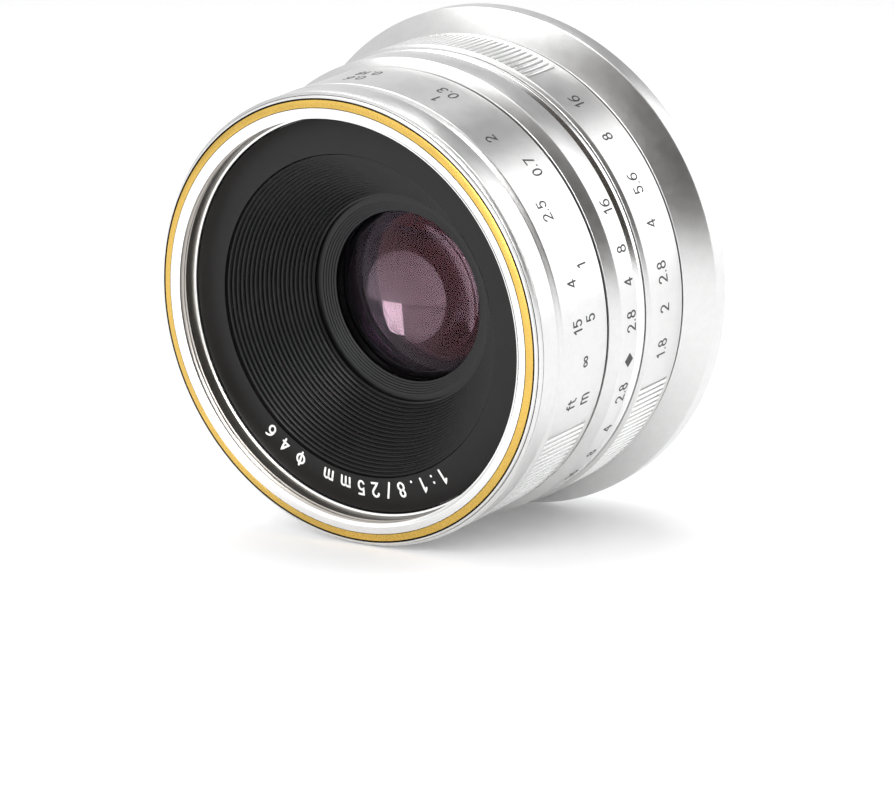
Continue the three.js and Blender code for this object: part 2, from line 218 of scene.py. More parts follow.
# ---------------------------------------------------------------- mesh kit
def put(name, verts, faces, mats, body=None, replaces=(), face_mat=None, sharp=30.0, recalc=True):
    me = bpy.data.meshes.new(name)
    me.from_pydata([(x * MM, y * MM, z * MM) for x, y, z in verts], [], faces)
    if recalc:
        bm = bmesh.new()
        bm.from_mesh(me)
        bmesh.ops.recalc_face_normals(bm, faces=bm.faces)
        bm.to_mesh(me)
        bm.free()
    for m in mats:
        me.materials.append(m)
    if face_mat:
        for i, p in enumerate(me.polygons):
            p.material_index = face_mat[i]
    for p in me.polygons:
        p.use_smooth = True
    me.set_sharp_from_angle(angle=sharp * D2R)
    obj = bpy.data.objects.new(name, me)
    SCENE.collection.objects.link(obj)
    if body:
        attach(obj, body)
    if replaces:
        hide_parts(*replaces)
    return obj


def rounded(prof, default=0.06, steps=3):
    out = []
    n = len(prof)
    for i, p in enumerate(prof):
        r, y = p[0], p[1]
        bev = p[2] if len(p) > 2 else default
        a, c = prof[i - 1], prof[(i + 1) % n]
        u = Vector((a[0] - r, a[1] - y))
        v = Vector((c[0] - r, c[1] - y))
        if bev <= 0 or u.length < 1e-6 or v.length < 1e-6 or (r == 0):
            out.append((r, y))
            continue
        t = min(bev, 0.45 * u.length, 0.45 * v.length)
        p0 = Vector((r, y)) + u.normalized() * t
        p2 = Vector((r, y)) + v.normalized() * t
        p1 = Vector((r, y))
        for k in range(steps + 1):
            s = k / steps
            q = p0 * (1 - s) ** 2 + p1 * 2 * s * (1 - s) + p2 * s * s
            out.append((q.x, q.y))
    return out


def even(n):
    return [360.0 * i / n for i in range(n)]


def sweep(prof, angles, offset=None, zone=None):
    """Closed profile turned about Y. offset(i, a) gives (dr, dy); zone(i, a) the face's material index."""
    na, npr = len(angles), len(prof)
    verts = []
    for i, (r, y) in enumerate(prof):
        for a in angles:
            dr, dy = offset(i, a) if offset else (0.0, 0.0)
            verts.append(((r + dr) * math.cos(a * D2R), y + dy, (r + dr) * math.sin(a * D2R)))
    faces, mats = [], []
    for i in range(npr):
        i2 = (i + 1) % npr
        for j in range(na):
            j2 = (j + 1) % na
            faces.append((i * na + j, i * na + j2, i2 * na + j2, i2 * na + j))
            if zone:
                a_mid = (angles[j] + (angles[j2] if j2 else 360.0 + angles[0])) / 2
                mats.append(zone(i, a_mid))
    return verts, faces, mats


def turn(name, prof, mat, body, replaces=(), seg=256, bevel=0.06, offset=None, zone=None, mats=None, angles=None, raw=False, sharp=30.0):
    p = [(q[0], q[1]) for q in prof] if raw else rounded(prof, bevel)
    verts, faces, fm = sweep(p, angles or even(seg), offset, zone)
    return put(name, verts, faces, mats or [mat], body, replaces or (name,) if replaces is not None else (), fm or None, sharp)


def blob(name, prof, mat, body, replaces, seg=128, sharp=30.0):
    """A solid of revolution whose profile starts and ends on the axis."""
    verts, faces = [], []
    rings = []
    for r, y in prof:
        if r == 0:
            rings.append([len(verts)])
            verts.append((0, y, 0))
        else:
            rings.append(list(range(len(verts), len(verts) + seg)))
            verts += [(r * math.cos(a * D2R), y, r * math.sin(a * D2R)) for a in even(seg)]
    for i in range(len(rings) - 1):
        a, b = rings[i], rings[i + 1]
        for j in range(seg):
            k = (j + 1) % seg
            if len(a) == 1:
                faces.append((a[0], b[k], b[j]))
            elif len(b) == 1:
                faces.append((a[j], a[k], b[0]))
            else:
                faces.append((a[j], a[k], b[k], b[j]))
    return put(name, verts, faces, [mat], body, (replaces,) if replaces else (), None, sharp)


def boolean(obj, tools, op="DIFFERENCE"):
    for t in tools:
        m = obj.modifiers.new("cut", "BOOLEAN")
        m.operation = op
        m.solver = "EXACT"
        m.object = t
        bpy.context.view_layer.update()
        dg = bpy.context.evaluated_depsgraph_get()
        me = bpy.data.meshes.new_from_object(obj.evaluated_get(dg))
        obj.modifiers.clear()
        old = obj.data
        obj.data = me
        bpy.data.meshes.remove(old)
    for t in tools:
        d = t.data
        bpy.data.objects.remove(t)
        bpy.data.meshes.remove(d)
    for p in obj.data.polygons:
        p.use_smooth = True
    obj.data.set_sharp_from_angle(angle=30 * D2R)


def tool_rod(radius, y0, y1, rc, a, seg=48):
    cx, cz = rc * math.cos(a * D2R), rc * math.sin(a * D2R)
    v, f = [], []
    for y in (y0, y1):
        v += [(cx + radius * math.cos(t * D2R), y, cz + radius * math.sin(t * D2R)) for t in even(seg)]
    f.append(tuple(range(seg)))
    f.append(tuple(range(2 * seg - 1, seg - 1, -1)))
    f += [(j, (j + 1) % seg, seg + (j + 1) % seg, seg + j) for j in range(seg)]
    return put("tool", v, f, [chrome])


def tool_box(x0, x1, y0, y1, z0, z1, a=0.0, cx=0.0, cz=0.0, twist=0.0):
    """A box drawn at angle 0, turned by twist about its own middle at (cx, cz), then by a about the axis."""
    v = []
    for x in (x0, x1):
        for y in (y0, y1):
            for z in (z0, z1):
                tx = x * math.cos(twist * D2R) - z * math.sin(twist * D2R) + cx
                tz = x * math.sin(twist * D2R) + z * math.cos(twist * D2R) + cz
                v.append((tx * math.cos(a * D2R) - tz * math.sin(a * D2R), y, tx * math.sin(a * D2R) + tz * math.cos(a * D2R)))
    f = [(0, 1, 3, 2), (4, 6, 7, 5), (0, 4, 5, 1), (2, 3, 7, 6), (0, 2, 6, 4), (1, 5, 7, 3)]
    return put("tool", v, f, [chrome])


# --------------------------------------------------------------- lettering
def arc(cx, cy, rx, ry, a0, a1, n=16):
    return [(cx + rx * math.cos((a0 + (a1 - a0) * i / n) * D2R), cy + ry * math.sin((a0 + (a1 - a0) * i / n) * D2R)) for i in range(n + 1)]


def knot():
    pts = []
    for i in range(41):
        t = 2 * math.pi * i / 40
        d = 1 + math.sin(t) ** 2
        pts.append((0.46 + 0.42 * math.cos(t) / d, 0.40 + 0.62 * math.sin(t) * math.cos(t) / d))
    return pts


GLYPHS = {
    "0": (0.60, [arc(0.30, 0.5, 0.26, 0.5, 0, 360, 32)]),
    "1": (0.40, [[(0.06, 0.76), (0.27, 1.0), (0.27, 0.0)]]),
    "2": (0.60, [arc(0.30, 0.72, 0.25, 0.28, 168, -38, 16) + [(0.04, 0.0), (0.57, 0.0)]]),
    "3": (0.58, [arc(0.28, 0.755, 0.22, 0.245, 150, -90, 14), arc(0.28, 0.26, 0.25, 0.26, 90, -150, 16)]),
    "4": (0.62, [[(0.45, 0.0), (0.45, 1.0), (0.03, 0.28), (0.60, 0.28)]]),
    "5": (0.58, [[(0.52, 1.0), (0.13, 1.0), (0.085, 0.54)] + arc(0.28, 0.325, 0.25, 0.325, 135, -150, 16)]),
    "6": (0.60, [arc(0.30, 0.31, 0.25, 0.31, 0, 360, 26), arc(0.52, 0.33, 0.47, 0.67, 180, 88, 12)]),
    "7": (0.58, [[(0.04, 1.0), (0.55, 1.0), (0.22, 0.0)]]),
    "8": (0.60, [arc(0.30, 0.76, 0.205, 0.24, 0, 360, 22), arc(0.30, 0.265, 0.25, 0.265, 0, 360, 26)]),
    ".": (0.20, [[(0.10, 0.03), (0.10, 0.06)]]),
    ":": (0.22, [[(0.11, 0.10), (0.11, 0.13)], [(0.11, 0.60), (0.11, 0.63)]]),
    "/": (0.44, [[(0.02, -0.06), (0.42, 1.04)]]),
    "m": (0.90, [[(0.08, 0.0), (0.08, 0.70)], arc(0.265, 0.50, 0.185, 0.20, 180, 0, 10) + [(0.45, 0.0)], arc(0.635, 0.50, 0.185, 0.20, 180, 0, 10) + [(0.82, 0.0)]]),
    "f": (0.40, [[(0.16, 0.0)] + arc(0.36, 0.78, 0.20, 0.22, 180, 80, 8), [(0.02, 0.66), (0.36, 0.66)]]),
    "t": (0.40, [[(0.16, 0.92)] + arc(0.34, 0.20, 0.18, 0.20, 180, 285, 8), [(0.02, 0.68), (0.36, 0.68)]]),
    "P": (0.78, [arc(0.39, 0.5, 0.33, 0.36, 0, 360, 28), [(0.39, -0.06), (0.39, 1.06)]]),
    "oo": (0.92, [knot()]),
}


def ribbon(points, half, place, verts, faces, seg_len):
    """A closed slab along a stroke, with round ends, on the surface that place(u, v, lift) gives."""
    fine = [points[0]]
    for p, q in zip(points, points[1:]):
        d = math.dist(p, q)
        n = max(1, int(math.ceil(d / seg_len)))
        fine += [(p[0] + (q[0] - p[0]) * k / n, p[1] + (q[1] - p[1]) * k / n) for k in range(1, n + 1)]
    loop = math.dist(fine[0], fine[-1]) < 1e-6
    if loop:
        fine = fine[:-1]
    n = len(fine)
    left, right = [], []
    for i in range(n):
        a = fine[i - 1] if (i or loop) else None
        c = fine[(i + 1) % n] if (i < n - 1 or loop) else None
        b = fine[i]
        d1 = Vector((b[0] - a[0], b[1] - a[1])).normalized() if a else None
        d2 = Vector((c[0] - b[0], c[1] - b[1])).normalized() if c else None
        d = ((d1 or d2) + (d2 or d1))
        d = d.normalized() if d.length > 1e-6 else (d1 or d2)
        m = Vector((-d.y, d.x))
        k = 1.0
        if d1 and d2:
            k = min(1.6, 1.0 / max(0.5, m.dot(Vector((-d1.y, d1.x)))))
        left.append((b[0] + m.x * half * k, b[1] + m.y * half * k))
        right.append((b[0] - m.x * half * k, b[1] - m.y * half * k))
    if not loop:
        def cap(c, d, side):
            base = math.atan2(d.y, d.x)
            return [(c[0] + half * math.cos(base + side * (90 - 180 * k / 6) * D2R), c[1] + half * math.sin(base + side * (90 - 180 * k / 6) * D2R)) for k in range(1, 6)]
        d_end = Vector((fine[-1][0] - fine[-2][0], fine[-1][1] - fine[-2][1])).normalized()
        d_start = Vector((fine[0][0] - fine[1][0], fine[0][1] - fine[1][1])).normalized()
        end_cap = cap(fine[-1], d_end, 1)        # from left to right round the end
        start_cap = cap(fine[0], d_start, 1)     # from right to left round the start
        outline_strip = list(zip(left, right))
        base = len(verts)
        top = []
        for l, r in outline_strip:
            top.append((len(verts), len(verts) + 1))
            verts.append(place(*l, True)); verts.append(place(*r, True))
        ec = list(range(len(verts), len(verts) + len(end_cap)))
        verts.extend(place(*p, True) for p in end_cap)
        sc = list(range(len(verts), len(verts) + len(start_cap)))
        verts.extend(place(*p, True) for p in start_cap)
        count = len(verts) - base
        flat_pts = [p for lr in outline_strip for p in lr] + end_cap + start_cap
        verts.extend(place(*p, False) for p in flat_pts)
        tops = []
        for (l0, r0), (l1, r1) in zip(top, top[1:]):
            tops.append((l0, r0, r1, l1))
        tops.append((top[-1][0], top[-1][1], *reversed(ec)))
        tops.append((top[0][1], top[0][0], *reversed(sc)))
        rim = [t[0] for t in top] + ec + [t[1] for t in reversed(top)] + sc
        for f in tops:
            faces.append(f)
            faces.append(tuple(v + count for v in reversed(f)))
        for a, b in zip(rim, rim[1:] + rim[:1]):
            faces.append((a, b, b + count, a + count))
    else:
        base = len(verts)
        for l, r in zip(left, right):
            verts.append(place(*l, True)); verts.append(place(*r, True))
            verts.append(place(*l, False)); verts.append(place(*r, False))
        for i in range(n):
            p, q = base + 4 * i, base + 4 * ((i + 1) % n)
            faces.append((p, p + 1, q + 1, q))
            faces.append((p + 2, q + 2, q + 3, p + 3))
            faces.append((p, q, q + 2, p + 2))
            faces.append((p + 1, p + 3, q + 3, q + 1))


def text_width(chars, gap, squeeze):
    return sum(GLYPHS[c][0] * squeeze for c in chars) + gap * (len(chars) - 1)


def write(items, name, mat, body, squeeze=0.88):
    """items: (chars, height, stroke, gap, place) with place(u, v, lift) in mm along and up from the text's middle."""
    verts, faces = [], []
    for chars, height, stroke, gap, place in items:
        w = text_width(chars, gap, squeeze) * height
        x = -w / 2
        for c in chars:
            adv, strokes = GLYPHS[c]
            for s in strokes:
                pts = [(x + p[0] * squeeze * height, (p[1] - 0.5) * height) for p in s]
                ribbon(pts, stroke / 2, place, verts, faces, 0.35)
            x += (adv * squeeze + gap) * height
    return put(name, verts, faces, [mat], body, (), None, 40.0)


def on_drum(radius, a_mid, y_mid):
    def place(u, v, lift):
        r = radius + (0.012 if lift else -0.05)
        a = a_mid * D2R + u / radius
        return (r * math.cos(a), y_mid - v, r * math.sin(a))
    return place


def on_face(r_mid, a_mid, r_in, y_in, r_out, y_out):
    """Reads clockwise from the front, tops outward, on the sloping ring between two circles."""
    def place(u, v, lift):
        r = r_mid + v
        a = a_mid * D2R - u / r_mid
        y = y_in + (y_out - y_in) * (r - r_in) / (r_out - r_in) + (-0.012 if lift else 0.05)
        return (r * math.cos(a), y, r * math.sin(a))
    return place


# ------------------------------------------------------------ front barrel
Y_LIP = -33.62
tube = [(23.20, -29.66, 0.0), (23.20, -11.50), (22.00, -11.50), (22.00, -29.55, 0.0), (22.62, -29.55), (22.62, -30.74, 0.0)]
thread = [(22.66, -30.84, 0.02), (22.88, -30.90, 0.02), (22.95, -30.98, 0.02)]
thread.append((22.95, -32.26, 0.0))
rows = 26
for i in range(rows + 1):
    thread.append((22.95, -32.30 - (33.42 - 32.30) * i / rows, 0.0))
front_part = [(23.12, -33.48, 0.03), (23.34, Y_LIP, 0.05), (24.13, Y_LIP, 0.05), (24.13, -32.90, 0.0), (25.17, -32.90, 0.0),
              (25.17, -33.42, 0.04), (25.42, -33.38, 0.04), (25.46, -33.10, 0.0), (25.40, -33.07, 0.0), (25.40, -33.02, 0.0), (25.52, -33.00, 0.03),
              (25.80, -32.74, 0.06), (25.81, -32.60, 0.0), (25.74, -32.57, 0.0), (25.74, -32.51, 0.0), (25.85, -32.48, 0.03), (25.85, -29.80, 0.06), (25.66, -29.66, 0.03)]
prof = tube + thread + front_part
pr = rounded(prof, 0.05)
t_lo, t_hi = -33.42, -32.30


def thread_cut(i, a):
    r, y = pr[i]
    if abs(r - 22.95) < 1e-6 and t_lo < y < t_hi:
        ph = ((y + 0.75 * a / 360.0) / 0.75) % 1.0
        tri = 1 - abs(2 * ph - 1)
        fade = min(1.0, (y - t_lo) / 0.2, (t_hi - y) / 0.2)
        return (0.42 * max(0.0, min(1.0, (tri - 0.14) / 0.72)) * fade, 0.0)
    return (0.0, 0.0)


def barrel_zone(i, a):
    r, y = pr[i]
    r2, y2 = pr[(i + 1) % len(pr)]
    ym, rm = (y + y2) / 2, (r + r2) / 2
    # index 3: the inner thread wall in the darker grey of painted shade
    if rm < 23.0 and -33.42 < ym < -30.9:
        return 3
    if rm < 24.2 and ym < -29.5:
        return 1
    # index 2: the seat behind the accent ring and the two small grooves in the near-black of painted shade
    if rm < 25.2 and ym < -32.4:
        return 2
    if 25.15 < rm < 25.86 and ym < -32.5:
        if (rm < 25.5 and -33.12 < ym < -33.0) or (rm < 25.83 and ym > -32.61):
            return 2
        return 0
    return 0


verts, faces, fm = sweep(pr, even(288), thread_cut, barrel_zone)
barrel = put("front_barrel_fine", verts, faces, [satin, cut_edge, groove_painted_shade_black, wall_painted_shade], "optics_body", ("front_barrel",), fm, 32.0)
boolean(barrel, [tool_box(21.5, 23.8, -19.7, -11.0, -1.9, 1.9, a) for a in (0, 180)])

turn("accent_ring_fine", [(24.19, -33.60, 0.04), (25.02, -33.42, 0.05), (25.02, -32.98, 0.02), (24.19, -32.98, 0.02)], gold,
     "optics_body", ("accent_ring",), 288)
turn("name_ring_fine", [(18.46, -30.96, 0.06), (22.50, -30.61, 0.08), (22.50, -29.65), (18.46, -30.15)], charcoal, "optics_body", ("name_ring",), 288)

# ridged cone: a staircase of narrow turned steps
cone = [(18.38, -30.03, 0.0), (18.38, -30.80, 0.03)]
r, y = 18.38, -30.80
STEPS = 20
dr, dy = (18.38 - 11.93) / STEPS, (30.80 - 22.67) / STEPS
for k in range(STEPS):
    cone.append((r - 0.015, y + dy - 0.075, 0.02))
    cone.append((r - 0.13, y + dy + 0.045, 0.03))
    cone.append((r - dr, y + dy - 0.02, 0.045))
    r, y = r - dr, y + dy
cone = cone[:-1] + [(11.93, -22.67, 0.0), (13.6, -22.67), (19.0, -28.7), (21.8, -28.9), (21.8, -29.55), (18.9, -29.95)]
turn("cone_baffle_fine", cone, black_al, "optics_body", ("cone_baffle",), 256, 0.03, sharp=38.0)

fun = [(9.87, -21.25, 0.02)]
for k in range(6):
    s0, s1 = k / 6.0, (k + 1) / 6.0
    ra, ya = 9.87 + 1.48 * s0, -21.25 - 1.0 * s0
    rb, yb = 9.87 + 1.48 * s1, -21.25 - 1.0 * s1
    fun.append((ra + 0.02, yb + 0.035, 0.02))
    fun.append((rb, yb, 0.02))
fun += [(12.4, -22.25), (12.4, -20.85), (11.2, -20.85)]
turn("front_retainer_fine", fun, black_al, "optics_body", ("front_retainer",), 192, 0.02, sharp=38.0)


# ------------------------------------------------------------- knurl rings
def knurl_angles(pitch, a0, a1, plain=1.25):
    """Angles for ribs over the arc from a0 up to a1 (degrees), plain spacing elsewhere. Returns angles and rib phases."""
    count = int(round((a1 - a0) / pitch))
    p = (a1 - a0) / count
    out = []
    for k in range(count):
        s = a0 + k * p
        for f, depth in ((0.0, 1.0), (0.16, 1.0), (0.28, 0.12), (0.36, 0.0), (0.80, 0.0), (0.88, 0.12)):
            out.append((s + f * p, depth))
    out.append((a1, 1.0))
    out.append((a1 + 0.16 * p, 1.0))
    out.append((a1 + 0.28 * p, 0.12))
    out.append((a1 + 0.36 * p, 0.0))
    start = a1 + 0.36 * p
    end = a0 + 360.0
    n = int((end - start) / plain)
    for k in range(1, n):
        out.append((start + (end - start) * k / n, 0.0))
    last = end - 0.12 * p
    out = [o for o in out if o[0] < last - 0.3 or o[0] < a1 + 1] + [(last, 0.0)]
    return [o[0] for o in out], {round(o[0], 6): o[1] for o in out}


def knurled(name, prof, y0, y1, radius, depth, pitch, a0, a1, body, node):
    ang, phase = knurl_angles(pitch, a0, a1)
    pr2 = rounded(prof, 0.06)
    # add the ends of the knurl band to the outer face
    outp = []
    for i, (r, y) in enumerate(pr2):
        outp.append((r, y))
        r2, y2 = pr2[(i + 1) % len(pr2)]
        if abs(r - radius) < 1e-6 and abs(r2 - radius) < 1e-6 and abs(y2 - y) > 2:
            lo, hi = (y0, y1) if y2 > y else (y1, y0)
            sgn = 1 if y2 > y else -1
            for q in (lo, lo + sgn * 0.06, (lo * 2 + hi) / 3, (lo + hi * 2) / 3, hi - sgn * 0.06, hi):
                outp.append((radius, q))

    def off(i, a):
        r, y = outp[i]
        if abs(r - radius) < 1e-6 and y0 + 0.03 < y < y1 - 0.03:
            return (-depth * phase[round(a, 6)], 0.0)
        return (0.0, 0.0)

    def zone(i, a):
        ra, ya = outp[i]
        rb, yb = outp[(i + 1) % len(outp)]
        ym = (ya + yb) / 2
        inside = a0 - 0.3 <= a <= a1 + 0.6 or a0 - 0.3 <= a - 360 <= a1 + 0.6 or a0 - 0.3 <= a + 360 <= a1 + 0.6
        if abs(ra - radius) < 1e-6 and abs(rb - radius) < 1e-6 and y0 - 0.01 < ym < y1 + 0.01 and inside:
            # recessed groove faces get the darker grey of painted shade, the rib faces the bright finish
            return 2 if mids.get(round(a, 6), 0.0) > 0.3 else 1
        return 0

    mids = {}
    for j, aj in enumerate(ang):
        nxt = ang[(j + 1) % len(ang)]
        mids[round((aj + (nxt if (j + 1) % len(ang) else 360.0 + ang[0])) / 2, 6)] = max(phase[round(aj, 6)], phase[round(nxt, 6)])
    verts, faces, fm = sweep(outp, ang, off, zone)
    return put(name, verts, faces, [satin, knurl_mat, knurl_groove_painted_shade], body, (node,), fm, 25.0)


focus_prof = [(24.7, -29.42), (25.2, -29.42, 0.04), (25.90, -28.83, 0.12), (25.90, -20.23, 0.0), (25.75, -20.08, 0.03), (24.7, -20.08)]
knurled("focus_ring_fine", focus_prof, -28.69, -21.18, 25.90, 0.26, 1.76, 107.0, 331.5, "focus_body", "focus_ring")
aper_prof = [(25.95, -13.60), (26.8, -13.60, 0.04), (27.12, -13.19, 0.10), (27.12, -6.69, 0.0), (26.97, -6.54, 0.03), (25.95, -6.54)]
knurled("aperture_ring_fine", aper_prof, -13.00, -7.37, 27.12, 0.26, 1.64, 62.2, 336.5, "aperture_body", "aperture_ring")


turn("depth_scale_ring_fine", [(25.1, -19.78), (25.95, -19.78, 0.04), (26.77, -18.59, 0.08), (26.77, -15.34, 0.07), (25.95, -15.34), (25.95, -19.3), (25.1, -19.3)],
     satin, "fixed_body", ("depth_scale_ring",), 288)
turn("scale_trim_ring_fine", [(25.95, -15.10), (26.15, -15.10, 0.03), (26.75, -14.37, 0.06), (26.75, -13.84, 0.06), (25.95, -13.84)],
     cut_edge, "fixed_body", ("scale_trim_ring",), 288)
turn("rear_housing_fine", [(26.0, -6.24), (27.05, -6.24, 0.05), (29.54, -3.36, 0.16), (29.54, -1.3, 0.12), (29.24, -1.0, 0.05), (27.3, -1.0), (27.3, -1.5), (22.6, -1.5), (22.6, -2.8), (26.0, -2.8)],
     satin, "fixed_body", ("rear_housing",), 288)

# -------------------------------------------------------------- lettering
drum = []
for label, a in (("16", -49.5), ("8", -40.8), ("4", -32.5), ("2.8", -22.0), ("2.8", -3.5), ("4", 6.0), ("8", 14.0), ("16", 24.5)):
    drum.append((list(label), 1.55, 0.205, 0.15, on_drum(26.77, a, -16.62)))
write(drum, "depth_scale_figures", ink_grey, "fixed_body")


def diamond(name, a, y, w, h, radius, body):
    verts, faces = [], []
    place = on_drum(radius, a, y)
    n = 8
    for lift in (True, False):
        for i in range(n + 1):
            s = i / n
            verts.append(place((s - 0.5) * w, (0.5 - abs(s - 0.5)) * h, lift))
        for i in range(n - 1, 0, -1):
            s = i / n
            verts.append(place((s - 0.5) * w, -(0.5 - abs(s - 0.5)) * h, lift))
    m = 2 * n
    for base in (0, m):
        for i in range(1, n):
            pass
    up = list(range(m))
    # strips between the upper and lower edge points
    for base in (0, m):
        faces.append((base + 0, base + 1, base + m - 1))
        for i in range(1, n - 1):
            faces.append((base + i, base + i + 1, base + m - i - 1, base + m - i))
        faces.append((base + n - 1, base + n, base + n + 1))
    for i in range(m):
        j = (i + 1) % m
        faces.append((i, j, j + m, i + m))
    return put(name, verts, faces, [ink_grey], body, (), None, 40.0)


diamond("index_mark", -13.2, -16.62, 1.75, 1.65, 26.77, "fixed_body")

focus_text = [(["f", "t"], 1.50, 0.22, 0.13, on_drum(25.90, -20.0, -25.92)), (["m"], 1.75, 0.22, 0.13, on_drum(25.90, -20.0, -23.45)),
              (["oo"], 1.5, 0.21, 0.13, on_drum(25.90, -9.5, -24.47))]
for label, a in (("15", 0.1), ("4", 10.7), ("2.5", 29.2), ("2", 51.1), ("1", 68.8), ("0.6", 93.0)):
    focus_text.append((list(label), 1.52, 0.205, 0.15, on_drum(25.90, a, -25.92)))
for label, a in (("5", 1.0), ("1", 14.0), ("0.7", 40.3), ("0.3", 69.3), ("0.18", 93.0)):
    focus_text.append((list(label), 1.52, 0.205, 0.15, on_drum(25.90, a, -23.36)))
write(focus_text, "focus_scale_figures", ink_grey, "focus_body")

aper_text = []
for label, a in (("1.8", -13.7), ("2", -3.7), ("2.8", 5.0), ("4", 16.8), ("5.6", 26.8), ("8", 39.6), ("16", 50.8)):
    aper_text.append((list(label), 1.60, 0.205, 0.15, on_drum(27.12, a, -10.30)))
write(aper_text, "aperture_scale_figures", ink_grey, "aperture_body")


def spread(chars, height, a0, a1, r_mid, squeeze=0.95):
    """Gap that spreads the characters over the arc from a0 to a1."""
    total = abs(a1 - a0) * D2R * r_mid / height
    ink = sum(GLYPHS[c][0] * squeeze for c in chars)
    return (total - ink) / (len(chars) - 1)


face = []
for chars, a0, a1 in ((["1", ":", "1", ".", "8", "/", "2", "5", "m", "m"], -58.8, -109.2), (["P", "4", "6"], -117.3, -134.2)):
    gap = spread(chars, 1.60, a0, a1, 19.9)
    face.append((chars, 1.60, 0.25, gap, on_face(19.9, (a0 + a1) / 2, 18.46, -30.96, 22.50, -30.61)))
write(face, "name_ring_figures", ink_white, "optics_body", 0.95)


# ------------------------------------------------------------------ optics
def cap_arc(r_edge, y_vertex, y_edge, n=20):
    """Points of a spherical cap from the axis out to its edge."""
    sag = y_edge - y_vertex
    if abs(sag) < 1e-6:
        return [(r_edge * k / n, y_vertex) for k in range(n + 1)]
    big = (r_edge * r_edge + sag * sag) / (2 * sag)
    out = []
    for k in range(n + 1):
        r = r_edge * k / n
        out.append((r, y_vertex + big - math.copysign(math.sqrt(big * big - r * r), big)))
    return out


def glass_piece(node, front, rear, mats, flat_from=None):
    prof2 = front + list(reversed(rear))
    obj = blob(node + "_fine", prof2, mats[0], "optics_body", node, 160, 28.0)
    for m in mats[1:]:
        obj.data.materials.append(m)
    nf = len(front) - 1
    seg = 160
    for p in obj.data.polygons:
        row = p.index // seg
        if row < nf:
            p.material_index = 0 if not flat_from or row < flat_from else len(mats) - 1
        elif row >= len(front):
            p.material_index = min(1, len(mats) - 1)
        else:
            p.material_index = len(mats) - 1
    return obj


glass_piece("element_1", cap_arc(10.95, -22.8, -20.76, 28), cap_arc(10.95, -20.5, -19.1, 24), [glass_front, glass_dim, edge_black])
glass_piece("element_2", cap_arc(9.55, -19.6, -17.85, 24), cap_arc(9.55, -16.9, -17.65, 20), [glass_red, glass_dim, edge_black])
# elements 3 to 6 take dark body tints of painted shade for the dark lens interior
glass_piece("element_3", cap_arc(7.4, -15.7, -17.40, 24) + [(7.5, -17.42), (9.55, -17.42)], cap_arc(6.8, -15.3, -15.42, 12) + [(6.9, -15.35), (9.55, -15.35)],
            [glass_reflective_shade_tint, glass_shade_tint, edge_black], 24)
glass_piece("element_4", cap_arc(9.75, -10.2, -10.85, 20), cap_arc(9.75, -9.5, -8.6, 20), [glass_shade_tint, glass_shade_tint, edge_black])
glass_piece("element_5", cap_arc(9.75, -9.42, -8.52, 20), cap_arc(9.75, -6.95, -7.6, 20), [glass_shade_tint, glass_shade_tint, edge_black])
glass_piece("element_6", cap_arc(9.75, -6.6, -6.25, 20), cap_arc(9.75, -4.75, -5.35, 20), [glass_shade_tint, glass_rear, edge_black])
glass_piece("element_7", cap_arc(9.75, -4.2, -4.4, 20), cap_arc(9.75, -2.4, -3.0, 20), [glass_dim, glass_rear, edge_black])

for node, prof2 in (
    ("front_cell", [(13.4, -22.0), (12.55, -22.0), (12.55, -20.6), (11.25, -20.6), (11.25, -18.4), (9.9, -18.4), (9.9, -15.2),
                    (12.9, -15.2), (12.9, -16.0), (21.7, -16.0), (21.7, -17.2), (13.4, -17.2)]),
    ("iris_housing", [(13.3, -14.2), (13.3, -11.6), (6.6, -11.6), (6.6, -12.1), (12.3, -12.1), (12.3, -14.2)]),
    ("rear_cell", [(12.7, -11.3), (8.4, -11.3), (8.4, -10.95), (10.1, -10.95), (10.1, -1.6), (12.0, -1.6), (12.7, -3.0)]),
    ("rear_retainer", [(9.9, -2.75), (9.9, -1.8), (8.8, -1.8), (8.4, -2.75)]),
    ("spacer_front", [(9.6, -17.9), (9.75, -18.3), (8.9, -18.75), (8.9, -18.5)]),
    ("spacer_middle", [(9.8, -7.45), (9.8, -6.35), (9.0, -6.35), (9.0, -7.3)]),
    ("spacer_rear", [(9.8, -5.2), (9.8, -4.55), (9.0, -4.55), (9.0, -5.0)]),
):
    turn(node + "_fine", prof2, black_al, "optics_body", (node,), 128, 0.04)

# iris blades: thin crescents with a pivot ear
for k in range(12):
    node = "iris_blade_%02d" % (k + 1)
    n = 40
    y1 = -12.35 - k * 0.15
    y0 = y1 - 0.10
    ring = []
    for i in range(n + 1):
        a = (4 + 114 * i / n) * D2R
        ring.append((9.4 * math.cos(a), 9.4 * math.sin(a)))
    for i in range(n, -1, -1):
        a = (-4 + 122 * i / n) * D2R
        ring.append((6.3 * math.cos(a), 6.3 * math.sin(a)))
    ring += [(10.8, -0.75), (11.15, -0.62), (11.36, -0.3), (11.4, 0.0), (11.36, 0.3), (11.15, 0.62), (10.8, 0.75)]
    rot = k * 30 * D2R
    pts = [(x * math.cos(rot) - z * math.sin(rot), x * math.sin(rot) + z * math.cos(rot)) for x, z in ring]
    m = len(pts)
    verts = [(x, y1, z) for x, z in pts] + [(x, y0, z) for x, z in pts]
    faces = []
    # quads between outer and inner arcs, then the ear
    for i in range(n):
        a, b = i, i + 1
        c, d = (2 * n + 1) - (i + 1), (2 * n + 1) - i
        faces.append((a, b, c, d))
    ear = (0, 2 * n + 1) + tuple(range(2 * n + 2, m))
    faces.append(ear)
    faces += [tuple(v + m for v in reversed(f)) for f in list(faces)]
    faces += [(i, (i + 1) % m, (i + 1) % m + m, i + m) for i in range(m)]
    put(node + "_fine", verts, faces, [blade_mat], node + "_body", (node,), None, 30.0)

